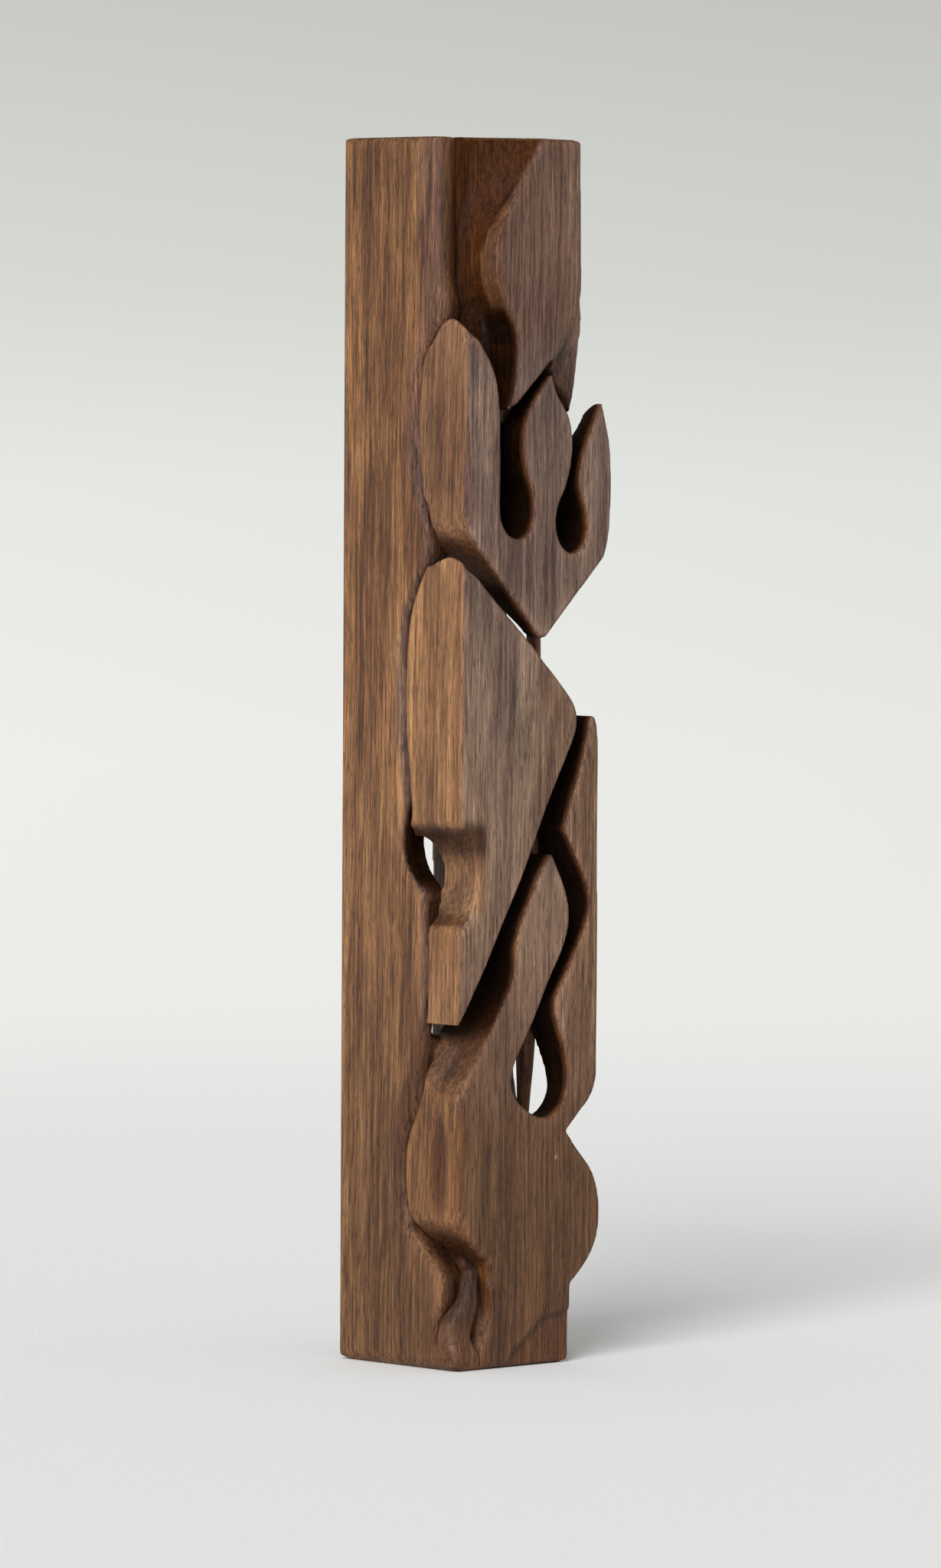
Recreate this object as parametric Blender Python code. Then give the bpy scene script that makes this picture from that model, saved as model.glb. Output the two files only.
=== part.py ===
"""A carved openwork headrest, stood on its end: a plain board, a second board and two blocks make the
frame, and four pierced carved panels close its front. Hidden dowels hold the glued joints.

Sizes are in millimetres. They are measured from the front left corner of the billet: X runs along the
carved face, Y goes back along the plain face and Z goes up. FRAME_CORNER then puts that corner where the
object's own origin is the middle of its foot.
"""

import math

import bmesh
import bpy

MM = 0.001
GAP = 0.3  # glue line or clearance between two pieces

# Driving sizes of the billet and of its frame.
HEIGHT = 320.0
DEPTH = 47.0  # at the head
FOOT_DEPTH = 43.8  # the back leans in towards the foot
WIDTH = 42.0  # outer face to outer face of the two boards
HEAD_WIDTH = 40.9
HEAD_TAPER_START = 280.0  # the right face leans in from here up
REACH = 53.9  # how far the prongs stand out from the plain face
SIDE_BOARD_THICK = 8.0
BACK_BOARD_THICK = 8.0
TOP_BLOCK_FOOT = 213.0
BASE_BLOCK_HEAD = 62.0
LEAF_THICK = 16.0
FOOT_THICK = 12.0
ROUND_OVER = 3.0  # how deep the board's front edge is rounded over
DOWEL_RADIUS = 1.5
BIG_DOWEL_RADIUS = 2.0
DOWEL_SIDES = 12
PANEL_DOWEL_DEPTH = 5.0  # from the plain face to the middle of the dowels in the board's edge
BLOCK_DOWEL_BACK = 34.0  # how far back the dowels between the blocks and the boards lie
FAR = 10.0  # how far a cutter reaches past what it cuts

FRAME_CORNER = (-REACH / 2 * MM, -DEPTH / 2 * MM, 0.0)
LEFT_OF_BLOCKS = SIDE_BOARD_THICK + GAP
RIGHT_OF_BLOCKS = WIDTH - BACK_BOARD_THICK - GAP

# The front edge of the plain board, from the top down: height, where its flat face ends, and where its
# full thickness ends. The edge bows back around each of the four bosses and opens at the waist.
BOARD_EDGE = [
    (320.0, 18.5, 11.5),
    (300.0, 18.2, 11.3),
    (284.0, 17.2, 10.8),
    (274.5, 17.0, 9.6),
    (267.0, 18.2, 14.9),
    (260.0, 20.6, 17.4),
    (248.5, 22.8, 18.4),
    (237.0, 22.2, 17.7),
    (228.0, 19.4, 16.5),
    (220.0, 16.4, 15.0),
    (212.5, 15.2, 14.0),
    (204.0, 19.0, 17.6),
    (195.0, 23.0, 20.8),
    (182.0, 24.9, 22.0),
    (166.0, 24.5, 21.6),
    (155.0, 22.6, 20.4),
    (146.0, 21.4, 20.0),
    (137.0, 22.3, 21.4),
    (130.8, 20.7, 19.8),
    (126.5, 17.4, 16.2),
    (122.5, 14.8, 13.4),
    (112.0, 14.4, 12.8),
    (96.0, 14.2, 12.5),
    (88.5, 15.2, 13.3),
    (78.0, 16.6, 14.8),
    (69.0, 20.6, 15.4),
    (58.0, 23.3, 19.7),
    (45.0, 23.0, 19.7),
    (37.0, 20.0, 16.8),
    (31.0, 13.8, 12.0),
    (25.0, 6.6, 5.8),
    (18.0, 6.3, 5.6),
    (11.0, 8.2, 7.4),
    (0.0, 9.2, 8.8),
]

# Stations down the leaf panel: height, left side, floor of the hollow beside the leaf, the leaf's own
# edge, the edge where its right flank falls away, and the flank's depth in its middle and at the side.
LEAF_STATIONS = [
    (320.0, 8.3, 13.0, 0.3, 27.0, 41.4, 0.1, 0.1),
    (312.0, 8.3, 13.0, 0.8, 21.6, 41.4, 0.1, 0.1),
    (303.0, 8.3, 12.8, 3.0, 15.6, 41.4, 0.1, 0.1),
    (296.0, 8.3, 12.5, 4.2, 11.6, 41.4, 0.1, 0.1),
    (289.0, 8.3, 12.2, 5.9, 10.3, 41.4, 0.1, 0.1),
    (282.0, 8.3, 12.2, 7.6, 11.0, 40.8, 0.2, 0.3),
    (276.0, 8.3, 12.6, 9.2, 14.4, 38.0, 0.6, 0.7),
    (271.0, 8.3, 13.4, 10.8, 17.8, 35.4, 1.4, 1.2),
    (266.0, 8.4, 14.2, 12.2, 18.8, 32.6, 2.6, 1.8),
    (261.0, 10.2, 15.0, 13.4, 18.8, 29.4, 4.4, 2.4),
    (256.0, 12.3, 15.5, 14.2, 18.2, 24.4, 6.4, 3.0),
    (251.0, 13.0, 15.8, 15.0, 16.8, 18.6, 8.4, 4.0),
    (246.0, 13.4, 15.8, 15.4, 15.6, 16.6, 10.4, 6.0),
]

# Stations down the rear post: height, middle across and back, half sizes across and back.
POST_STATIONS = [
    (245.7, 35.8, 14.5, 5.6, 1.4),
    (238.0, 36.8, 14.6, 4.4, 1.6),
    (228.0, 37.8, 14.8, 3.2, 1.7),
    (214.0, 38.8, 14.9, 2.2, 1.8),
    (200.0, 39.3, 14.4, 1.9, 1.8),
    (186.0, 39.5, 13.7, 1.8, 1.8),
    (130.0, 38.8, 13.9, 2.0, 2.0),
    (100.0, 38.7, 14.0, 2.1, 2.1),
    (84.0, 38.8, 14.2, 2.2, 2.2),
    (72.0, 38.8, 14.6, 1.8, 1.8),
    (62.3, 38.7, 14.9, 1.5, 1.5),
]

# Stations up the base knot: height, middle across and back, half sizes across and back.
KNOT_STATIONS = [
    (0.0, 4.4, 4.4, 4.4, 4.3),
    (5.0, 4.3, 4.5, 4.3, 4.3),
    (9.5, 3.8, 4.8, 3.8, 4.2),
    (14.0, 4.2, 3.7, 3.5, 3.5),
    (18.0, 6.2, 2.7, 2.5, 2.5),
    (22.0, 6.9, 2.6, 2.1, 2.2),
    (26.5, 7.4, 2.9, 1.9, 2.1),
]

WOOD = {
    "side_board": ((0.205, 0.104, 0.045), 0.55),
    "back_board": ((0.190, 0.098, 0.046), 0.55),
    "top_block": ((0.185, 0.096, 0.047), 0.58),
    "base_block": ((0.182, 0.094, 0.045), 0.58),
    "leaf_panel": ((0.172, 0.103, 0.070), 0.50),
    "prong_panel": ((0.168, 0.100, 0.068), 0.50),
    "blade_panel": ((0.176, 0.104, 0.066), 0.50),
    "spear_panel": ((0.170, 0.092, 0.052), 0.52),
    "base_knot": ((0.140, 0.080, 0.060), 0.52),
    "rear_post": ((0.120, 0.088, 0.070), 0.56),
    "dowel": ((0.420, 0.270, 0.140), 0.65),
}


def between(before, start, end, after, t):
    """The point a share t of the way from start to end on a smooth curve through all four."""
    point = []
    for a, b, c, d in zip(before, start, end, after):
        slope, bend, twist = c - a, 2 * a - 5 * b + 4 * c - d, 3 * (b - c) + d - a
        point.append(b + t / 2 * (slope + t * (bend + t * twist)))
    return tuple(point)


def smooth(points, steps=3):
    """An open curve that runs smoothly through its points, as a list of tuples of the same length."""
    curve = []
    last = len(points) - 1
    for i in range(last):
        before = points[max(i - 1, 0)]
        start, end = points[i], points[i + 1]
        after = points[min(i + 2, last)]
        for step in range(steps):
            curve.append(between(before, start, end, after, step / steps))
    return curve + [tuple(points[last])]


def path(*runs):
    """One closed outline from runs of points, each run starting where the last one ended or anywhere."""
    outline = []
    for point in (p for run in runs for p in run):
        if not outline or math.dist(point, outline[-1]) > 0.01:
            outline.append(point)
    if math.dist(outline[0], outline[-1]) < 0.01:
        outline.pop()
    return outline


def ring(mid_a, mid_b, half_a, half_b, sides):
    """An ellipse as a closed list of points."""
    turns = [2 * math.pi * i / sides for i in range(sides)]
    return [(mid_a + half_a * math.cos(t), mid_b + half_b * math.sin(t)) for t in turns]


def wood(name):
    """The bare wood of one piece."""
    material = bpy.data.materials.new(name + "_wood")
    material.use_nodes = True
    colour, roughness = WOOD[name]
    shader = material.node_tree.nodes["Principled BSDF"]
    shader.inputs["Base Color"].default_value = (*colour, 1.0)
    shader.inputs["Roughness"].default_value = roughness
    shader.inputs["Metallic"].default_value = 0.0
    return material


def loft(name, sections):
    """A closed solid through rings of 3-D points, which all hold the same number of points."""
    mesh = bpy.data.meshes.new(name)
    shape = bmesh.new()
    rings = [[shape.verts.new([c * MM for c in point]) for point in section] for section in sections]
    for low, high in zip(rings, rings[1:]):
        for i in range(len(low)):
            shape.faces.new((low[i - 1], low[i], high[i], high[i - 1]))
    shape.faces.new(rings[0])
    shape.faces.new(rings[-1])
    bmesh.ops.recalc_face_normals(shape, faces=shape.faces)
    shape.to_mesh(mesh)
    shape.free()
    made = bpy.data.objects.new(name, mesh)
    made.location = FRAME_CORNER
    bpy.context.scene.collection.objects.link(made)
    return made


def slab(name, axis, outline, low, high):
    """An outline extruded along one axis. It holds (y, z) along X, (x, z) along Y and (x, y) along Z."""
    place = {
        "X": lambda point, level: (level, point[0], point[1]),
        "Y": lambda point, level: (point[0], level, point[1]),
        "Z": lambda point, level: (point[0], point[1], level),
    }[axis]
    return loft(name, [[place(point, level) for point in outline] for level in (low, high)])


def helper(shape):
    """Marks a shape as one that only cuts or trims others."""
    shape.hide_render = True
    shape.display_type = "WIRE"
    return shape


def boolean(target, tool, operation):
    step = target.modifiers.new(tool.name, "BOOLEAN")
    step.operation = operation
    step.solver = "EXACT"
    step.object = helper(tool)


def cut(target, *tools):
    for tool in tools:
        boolean(target, tool, "DIFFERENCE")


def trim(target, *tools):
    for tool in tools:
        boolean(target, tool, "INTERSECT")


def back_at(z):
    """How far back the leaning rear face lies at a height."""
    return FOOT_DEPTH + (DEPTH - FOOT_DEPTH) * z / HEIGHT


def board_edges(steps=3):
    """The board's edge from the bottom up: (height, where the face ends, where the thickness ends)."""
    return smooth(BOARD_EDGE, steps)[::-1]


def side_board():
    """The plain board. Its front edge rounds over from the flat face to the full thickness."""
    edges = board_edges()

    def section(across, share):
        front = [(across, step + (face - step) * share, z) for z, face, step in edges]
        return front + [(across, DEPTH, HEIGHT), (across, FOOT_DEPTH, 0.0)]

    turns = [math.radians(angle) for angle in (0, 30, 60, 90)]
    rounded = [section(ROUND_OVER * (1 - math.cos(t)), 1 - math.sin(t)) for t in turns]
    return loft("side_board", rounded + [section(SIDE_BOARD_THICK, 0.0)])


def board_space():
    """All the room that the plain board takes up, with its glue line: the carved panels end at it."""
    front = [(step - GAP, z) for z, face, step in board_edges()]
    front[0] = (front[0][0], -FAR)
    front[-1] = (front[-1][0], HEIGHT + FAR)
    behind = [(DEPTH + FAR, HEIGHT + FAR), (DEPTH + FAR, -FAR)]
    return helper(slab("board_space", "X", front + behind, -FAR, LEFT_OF_BLOCKS))


def back_board():
    """The narrow board on the right. It swells forward at its head and at its foot."""
    outline = path(
        [(FOOT_DEPTH, 0.0), (DEPTH, HEIGHT), (LEAF_THICK + GAP, HEIGHT), (LEAF_THICK + GAP, 236.0)],
        smooth([(LEAF_THICK + GAP, 236.0), (18.6, 222.0), (24.4, 205.0), (25.8, 190.0), (25.0, 160.0)]),
        smooth([(25.0, 160.0), (23.8, 110.0), (22.6, 86.0), (20.6, 72.0), (18.2, BASE_BLOCK_HEAD)]),
        [(FOOT_THICK + GAP, BASE_BLOCK_HEAD), (FOOT_THICK + GAP, 0.0)],
    )
    return slab("back_board", "X", outline, WIDTH - BACK_BOARD_THICK, WIDTH)


def block(name, front, low, high):
    """A solid block between the two boards."""
    corners = [(front, low), (front, high), (back_at(high), high), (back_at(low), low)]
    return slab(name, "X", corners, LEFT_OF_BLOCKS, RIGHT_OF_BLOCKS)


def leaf_panel():
    """The leaf in relief: a wide hollow down its left side and a scooped flank down its right side."""

    def section(z, left, hollow, floor, edge, flank, middle, side):
        width = edge - left
        drop = hollow - floor
        front = [
            (left, hollow),
            (left + 0.25 * width, hollow - 0.12 * drop),
            (left + 0.55 * width, hollow - 0.45 * drop),
            (edge - 0.15, floor),
            (edge, 0.0),
            (max(flank, edge + 0.3), 0.0 if flank > edge + 1.5 else middle * 0.8),
            (0.5 * (flank + WIDTH), middle),
            (WIDTH - 0.15, side),
        ]
        return [(x, y, z) for x, y in front + [(WIDTH, LEAF_THICK), (left, LEAF_THICK)]]

    return loft("leaf_panel", [section(*station) for station in smooth(LEAF_STATIONS, 2)])


def leaf_tail_cutter():
    """Trims the leaf's tail to its slanting lower edge, and clears the room behind the prongs."""
    tail = [(14.8, 247.6), (31.0, 262.6), (33.5, 262.6), (40.6, 250.5), (43.4, 245.0)]
    outline = tail + [(43.4, 240.0), (14.8, 240.0)]
    return slab("leaf_tail_cutter", "Y", outline, -FAR, 10.2)


def head_taper():
    """Trims the right face so that it leans in towards the head."""
    outline = [
        (WIDTH, HEAD_TAPER_START),
        (HEAD_WIDTH, HEIGHT),
        (HEAD_WIDTH, HEIGHT + FAR),
        (WIDTH + FAR, HEIGHT + FAR),
        (WIDTH + FAR, HEAD_TAPER_START),
    ]
    return helper(slab("head_taper", "Y", outline, -FAR, DEPTH + FAR))


def layer(name, *backs):
    """A plan of the front layer, as thick as the runs of (across, back) say, for trimming a panel."""
    runs = [smooth(run, 2) for run in backs]
    plan = path([(-FAR, -FAR), (REACH + FAR, -FAR)], *runs, [(-FAR, runs[-1][-1][1])])
    return slab(name, "Z", plan, -FAR, HEIGHT + FAR)


def prong_outline():
    """Clockwise from the corner: the slanting head, the first slot, both prongs, and the point below."""
    return path(
        smooth(
            [(0.0, 270.8), (5.0, 266.2), (9.2, 261.0), (11.4, 255.0)]
            + [(12.4, 247.0), (12.7, 236.0), (12.7, 225.5)]
        ),
        smooth([(12.7, 225.5), (13.3, 220.6), (16.2, 217.0), (20.2, 216.0), (23.9, 217.8), (25.5, 222.2)]),
        smooth(
            [(25.5, 222.2), (25.1, 227.6), (22.8, 233.2), (21.5, 239.8)]
            + [(22.7, 247.4), (26.6, 253.6), (31.3, 258.8)]
        ),
        smooth([(31.3, 258.8), (33.6, 253.4), (37.6, 248.4), (39.2, 242.4), (38.8, 235.4), (36.9, 229.4)]),
        smooth(
            [(36.9, 229.4), (34.2, 224.6), (33.4, 219.6), (35.2, 214.9)]
            + [(39.4, 212.2), (43.8, 214.2), (45.6, 218.6)]
        ),
        smooth(
            [(45.6, 218.6), (44.6, 224.0), (42.5, 229.0), (42.6, 233.8)]
            + [(44.1, 239.2), (46.8, 245.0), (50.1, 251.8)]
        ),
        smooth(
            [(50.1, 251.8), (51.6, 246.8), (53.1, 241.6), (REACH, 234.0)]
            + [(REACH, 224.0), (53.2, 216.4), (51.6, 211.4)]
        ),
        smooth([(31.6, 192.0), (29.6, 190.4), (27.4, 190.9), (25.2, 193.4)]),
        smooth([(2.2, 216.2), (0.5, 218.4), (0.0, 221.4)]),
    )


def prong_panel():
    """The upper panel: a boss on the corner and two prongs with a slot on each side of the first."""
    panel = slab("prong_panel", "Y", prong_outline(), 0.0, DEPTH / 2)
    prongs = [(54.5, 9.6), (47.0, 12.2), (40.0, 12.6), (28.0, 12.0), (20.0, 12.6)]
    boss = [(20.0, 12.6), (13.0, 14.6), (8.5, 15.9), (6.0, 19.0)]
    trim(panel, layer("prong_layer", prongs, boss))
    tips = [(16.2, 233.0), (12.6, 233.0), (9.8, 242.0), (3.9, 262.0), (3.9, 275.0), (16.2, 275.0)]
    cut(panel, slab("prong_tip_bevel", "X", tips, 15.0, REACH + FAR))
    point = [(16.2, 212.0), (12.8, 212.0), (4.2, 190.0), (4.2, 180.0), (16.2, 180.0)]
    cut(panel, slab("prong_point_bevel", "X", point, 10.0, REACH + FAR))
    return panel


def blade_outline():
    return path(
        smooth([(0.0, 210.6), (1.6, 208.8), (12.0, 199.6), (23.6, 189.7), (32.0, 182.0), (38.2, 176.2)]),
        smooth([(38.2, 176.2), (41.3, 172.4), (42.3, 168.2), (41.0, 163.8), (37.1, 156.6)]),
        smooth(
            [(37.1, 156.6), (31.8, 147.0), (27.2, 137.6), (22.0, 127.0)]
            + [(15.4, 115.6), (9.6, 105.0), (4.3, 96.6), (0.0, 90.0)]
        ),
    )


def blade_panel():
    """The middle panel: a long kite with two bosses on the corner and a gouged waist between them."""
    panel = slab("blade_panel", "Y", blade_outline(), 0.0, DEPTH / 2)
    backs = [(44.0, 8.0), (26.0, 10.4), (18.0, 13.0), (12.0, 17.0), (8.0, 21.0), (6.0, 23.0)]
    trim(panel, layer("blade_layer", backs))
    cut(panel, slab("waist_gouge", "Y", ring(-2.0, 128.4, 8.4, 12.8, 32), -FAR, DEPTH))
    cut(panel, slab("waist_back_gouge", "X", ring(19.0, 129.2, 6.4, 9.4, 24), -FAR, LEFT_OF_BLOCKS + 3.0))
    return panel


def spear_outline():
    return path(
        [(WIDTH + 0.2, 0.0)],
        smooth(
            [(WIDTH + 0.2, 20.6), (47.3, 25.3), (50.9, 30.0), (52.6, 35.2)]
            + [(52.7, 42.0), (50.2, 49.6), (44.6, 55.7), (39.9, 61.0)]
        ),
        smooth([(39.9, 61.0), (45.0, 65.7), (49.4, 70.2), (51.3, 75.4)]),
        smooth([(50.4, 151.0), (50.2, 163.6), (49.4, 168.2), (48.1, 169.8), (46.9, 167.6), (46.3, 163.6)]),
        smooth([(46.3, 163.6), (43.5, 154.3), (40.3, 146.4), (38.2, 140.0)]),
        smooth(
            [(38.2, 140.0), (41.9, 134.3), (45.6, 128.0), (47.9, 122.6)]
            + [(48.0, 118.8), (46.6, 114.6), (43.5, 108.6)]
        ),
        smooth(
            [(43.5, 108.6), (39.5, 102.0), (36.0, 96.6), (35.5, 93.0)]
            + [(36.7, 88.8), (38.8, 83.8), (40.3, 78.0)]
        ),
        smooth(
            [(40.3, 78.0), (40.4, 73.4), (39.3, 69.4), (36.6, 66.3)]
            + [(32.4, 64.7), (28.0, 65.6), (22.5, 69.0), (19.7, 72.4)]
        ),
        smooth(
            [(19.7, 72.4), (19.5, 75.8), (21.0, 80.0), (24.0, 85.0)]
            + [(28.0, 91.6), (33.0, 100.8), (37.2, 107.6)]
        ),
        smooth([(37.2, 107.6), (39.6, 113.3), (40.1, 118.6), (38.9, 123.6), (36.6, 128.4), (33.3, 133.9)]),
        smooth(
            [(33.3, 133.9), (29.2, 128.8), (25.8, 122.0), (22.3, 115.0)]
            + [(20.6, 109.0), (20.6, 103.8), (19.2, 99.4)]
        ),
        smooth([(19.2, 99.4), (15.6, 94.2), (11.5, 88.0), (7.3, 82.0), (3.3, 76.0), (0.0, 72.4)]),
        [(0.0, 38.0), (12.7, 26.2)],
        smooth([(12.7, 26.2), (12.9, 16.0), (11.6, 10.4), (9.6, 6.0), (9.1, 0.0)]),
    )


def spear_panel():
    """The lower panel: a spear inside a teardrop loop, a tall strip, two lobes, a boss and the foot."""
    panel = slab("spear_panel", "Y", spear_outline(), 0.0, DEPTH / 2)
    hollow = [(1.5, 5.0), (3.4, 10.0), (4.8, 16.0), (5.6, 22.0), (8.0, 31.0), (13.0, 31.0), (13.0, 5.0)]
    boolean(panel, slab("hollow_beside_knot", "X", hollow, 9.4, 13.6), "UNION")
    strip = [(56.0, 10.0), (50.0, 12.4), (46.0, 13.8), (41.3, 13.8)]
    loop = [(41.3, 11.2), (38.0, 11.2), (30.0, 11.2), (22.0, 12.6)]
    boss = [(22.0, 12.6), (16.0, 15.5), (12.0, 18.4), (8.0, 20.4)]
    trim(panel, layer("spear_layer", strip, loop, boss))
    loop_bevel = [(7.8, BASE_BLOCK_HEAD), (7.8, 72.0), (11.4, 88.0), (15.0, 88.0), (15.0, BASE_BLOCK_HEAD)]
    cut(panel, slab("loop_back_bevel", "X", loop_bevel, 25.0, REACH + FAR))
    behind = [(FOOT_THICK, -FAR), (FOOT_THICK, BASE_BLOCK_HEAD + GAP)]
    behind += [(DEPTH, BASE_BLOCK_HEAD + GAP), (DEPTH, -FAR)]
    cut(panel, slab("base_block_space", "X", behind, LEFT_OF_BLOCKS - GAP / 2, REACH + FAR))
    facet = [(15.5, -FAR), (15.5, -0.5), (27.0, 9.0), (33.0, 13.6), (WIDTH + FAR, 14.4), (WIDTH + FAR, -FAR)]
    cut(panel, slab("foot_facet", "Y", facet, -FAR, 0.7))
    return panel


def column(name, stations, sides, smoothing=2):
    """A carved column through its stations, each an ellipse at its height."""
    sections = []
    for z, mid_x, mid_y, half_x, half_y in smooth(stations, smoothing):
        sections.append([(x, y, z) for x, y in ring(mid_x, mid_y, half_x, half_y, sides)])
    return loft(name, sections)


def add_dowel(name, axis, across, up, low, high, radius, pieces):
    """One round dowel along an axis, and its hole in both of the pieces that it joins."""
    outline = ring(across, up, radius, radius, DOWEL_SIDES)
    made = slab(name, axis, outline, low, high)
    made.data.materials.append(MATERIALS["dowel"])
    hole = ring(across, up, radius + GAP, radius + GAP, DOWEL_SIDES)
    for piece in pieces:
        cut(piece, slab(f"{name}_hole_in_{piece.name}", axis, hole, low - GAP, high + GAP))


def edge_at(height):
    """Where the board's full thickness ends at a height."""
    return min(board_edges(), key=lambda edge: abs(edge[0] - height))[2]


def dowels(pieces):
    """Every hidden dowel, by the joint that it holds."""
    side, back = pieces["side_board"], pieces["back_board"]
    edge_dowels = {"prong": (257.0, 232.0), "blade": (194.0, 160.0, 104.0), "spear": (58.0, 45.0)}
    for panel, heights in edge_dowels.items():
        for number, z in enumerate(heights, 1):
            seam = edge_at(z)
            joined = (side, pieces[f"{panel}_panel"])
            name = f"{panel}_dowel_{number}"
            add_dowel(name, "Y", PANEL_DOWEL_DEPTH, z, seam - 6.0, seam + 8.0, DOWEL_RADIUS, joined)
    for panel, across_up, seam, blocked in (
        ("leaf", ((18.0, 300.0), (29.0, 288.0)), LEAF_THICK, "top_block"),
        ("foot", ((18.0, 40.0), (30.0, 20.0)), FOOT_THICK, "base_block"),
    ):
        front = pieces["leaf_panel" if panel == "leaf" else "spear_panel"]
        for number, (x, z) in enumerate(across_up, 1):
            joined = (front, pieces[blocked])
            add_dowel(f"{panel}_dowel_{number}", "Y", x, z, seam - 6.0, seam + 8.0, BIG_DOWEL_RADIUS, joined)
    for blocked, heights in (("top_block", (300.0, 235.0)), ("base_block", (45.0, 16.0))):
        for number, z in enumerate(heights, 1):
            for board, side_name, low, high in (
                (side, "left", SIDE_BOARD_THICK - 4.5, SIDE_BOARD_THICK + 8.0),
                (back, "right", WIDTH - BACK_BOARD_THICK - 8.0, WIDTH - 2.5),
            ):
                joined = (board, pieces[blocked])
                name = f"{blocked}_{side_name}_dowel_{number}"
                add_dowel(name, "X", BLOCK_DOWEL_BACK, z, low, high, BIG_DOWEL_RADIUS, joined)


def shade(piece):
    """Smooth shading with the carved arrises kept sharp."""
    piece.data.shade_smooth()
    piece.data.set_sharp_from_angle(angle=math.radians(35))


for old in list(bpy.data.objects):
    bpy.data.objects.remove(old, do_unlink=True)
MATERIALS = {name: wood(name) for name in WOOD}

pieces = {
    piece.name: piece
    for piece in (
        side_board(),
        back_board(),
        block("top_block", LEAF_THICK + GAP, TOP_BLOCK_FOOT, HEIGHT),
        block("base_block", FOOT_THICK + GAP, 0.0, BASE_BLOCK_HEAD),
        leaf_panel(),
        prong_panel(),
        blade_panel(),
        spear_panel(),
        column("rear_post", POST_STATIONS, 16),
        column("base_knot", KNOT_STATIONS, 20),
    )
}
room = board_space()
for carved in ("prong_panel", "blade_panel", "spear_panel", "leaf_panel", "base_knot"):
    cut(pieces[carved], room)
cut(pieces["leaf_panel"], leaf_tail_cutter())
taper = head_taper()
for tapered in ("leaf_panel", "back_board"):
    cut(pieces[tapered], taper)
dowels(pieces)
for name, piece in pieces.items():
    piece.data.materials.append(MATERIALS[name])
    shade(piece)
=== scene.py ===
import math

import bmesh
import bpy
import numpy as np
from mathutils import Matrix, Vector, noise


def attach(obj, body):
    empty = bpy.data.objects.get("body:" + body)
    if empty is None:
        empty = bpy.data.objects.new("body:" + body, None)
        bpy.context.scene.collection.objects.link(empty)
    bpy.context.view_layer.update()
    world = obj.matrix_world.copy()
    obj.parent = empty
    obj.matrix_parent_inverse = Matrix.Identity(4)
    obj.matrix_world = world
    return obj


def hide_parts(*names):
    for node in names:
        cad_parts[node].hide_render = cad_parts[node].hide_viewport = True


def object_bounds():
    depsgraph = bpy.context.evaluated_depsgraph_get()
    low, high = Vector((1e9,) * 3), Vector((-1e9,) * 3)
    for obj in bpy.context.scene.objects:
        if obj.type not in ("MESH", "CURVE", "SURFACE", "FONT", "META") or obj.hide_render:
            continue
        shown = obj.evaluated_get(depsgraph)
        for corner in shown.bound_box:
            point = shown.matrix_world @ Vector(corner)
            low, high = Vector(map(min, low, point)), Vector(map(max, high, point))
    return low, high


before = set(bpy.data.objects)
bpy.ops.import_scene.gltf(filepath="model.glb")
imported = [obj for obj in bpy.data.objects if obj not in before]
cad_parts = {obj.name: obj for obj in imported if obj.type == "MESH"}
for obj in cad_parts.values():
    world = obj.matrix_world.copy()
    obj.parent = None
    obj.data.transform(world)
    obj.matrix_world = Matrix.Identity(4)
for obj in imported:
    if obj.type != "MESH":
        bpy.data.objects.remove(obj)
cad_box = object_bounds()

MM = 0.001
LOW, HIGH = cad_box
CORNER = Vector((LOW.x, LOW.y, LOW.z))  # where the plain face meets the carved face, at the foot
HEIGHT = HIGH.z - LOW.z

# ---------------------------------------------------------------- camera and light
EYE_AZIMUTH = math.radians(-45.0)  # between the plain face and the carved face
EYE_DISTANCE = 6.76 * HEIGHT
EYE_HEIGHT = 0.755 * HEIGHT
SENSOR = 36.0
LENS = 192.4
CAMERA_PITCH = math.radians(-2.35)
CAMERA_TURN = math.radians(-0.055)
CAMERA_ROLL = math.radians(0.71)

KEY_TO_THE_LEFT = math.radians(18.0)  # of the camera's own direction
KEY_UP = math.radians(28.0)
KEY_STRENGTH = 3.0
KEY_SPREAD = math.radians(31.0)
KEY_COLOUR = (0.985, 0.985, 0.985)
SKY = (0.985, 0.975, 0.955)
SKY_STRENGTH = 0.42

# The stage is a round cove: a flat floor, then a sweep that rises all round it.
FLOOR_REACH = 4.0
SWEEP_RADIUS = 2.0
WALL_TOP = 3.2
LIT_REACH = 0.50  # the paper's own shading ends here
GLOW_REACH = 1.5  # and from here on it only glows
GLOW_HEIGHT = 2.0  # the stops below are shares of this height
GLOW = [
    (0.0, (0.862, 0.866, 0.835)),
    (0.10, (0.80, 0.815, 0.78)),
    (0.185, (0.685, 0.70, 0.66)),
    (0.335, (0.575, 0.583, 0.548)),
    (1.0, (0.55, 0.56, 0.53)),
]


def make_camera():
    """A long lens, nearly level, looking at the corner between the plain and the carved face."""
    data = bpy.data.cameras.new("camera")
    data.lens = LENS
    data.sensor_width = SENSOR
    data.clip_end = 30.0
    camera = bpy.data.objects.new("camera", data)
    bpy.context.scene.collection.objects.link(camera)
    back = Vector((math.sin(EYE_AZIMUTH), -math.cos(EYE_AZIMUTH), 0.0))
    camera.location = CORNER + back * EYE_DISTANCE + Vector((0, 0, EYE_HEIGHT))
    turn = Matrix.Rotation(EYE_AZIMUTH + CAMERA_TURN, 4, "Z")
    tilt = Matrix.Rotation(math.radians(90) + CAMERA_PITCH, 4, "X")
    roll = Matrix.Rotation(CAMERA_ROLL, 4, "Z")
    camera.rotation_euler = (turn @ tilt @ roll).to_euler()
    bpy.context.scene.camera = camera


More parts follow.
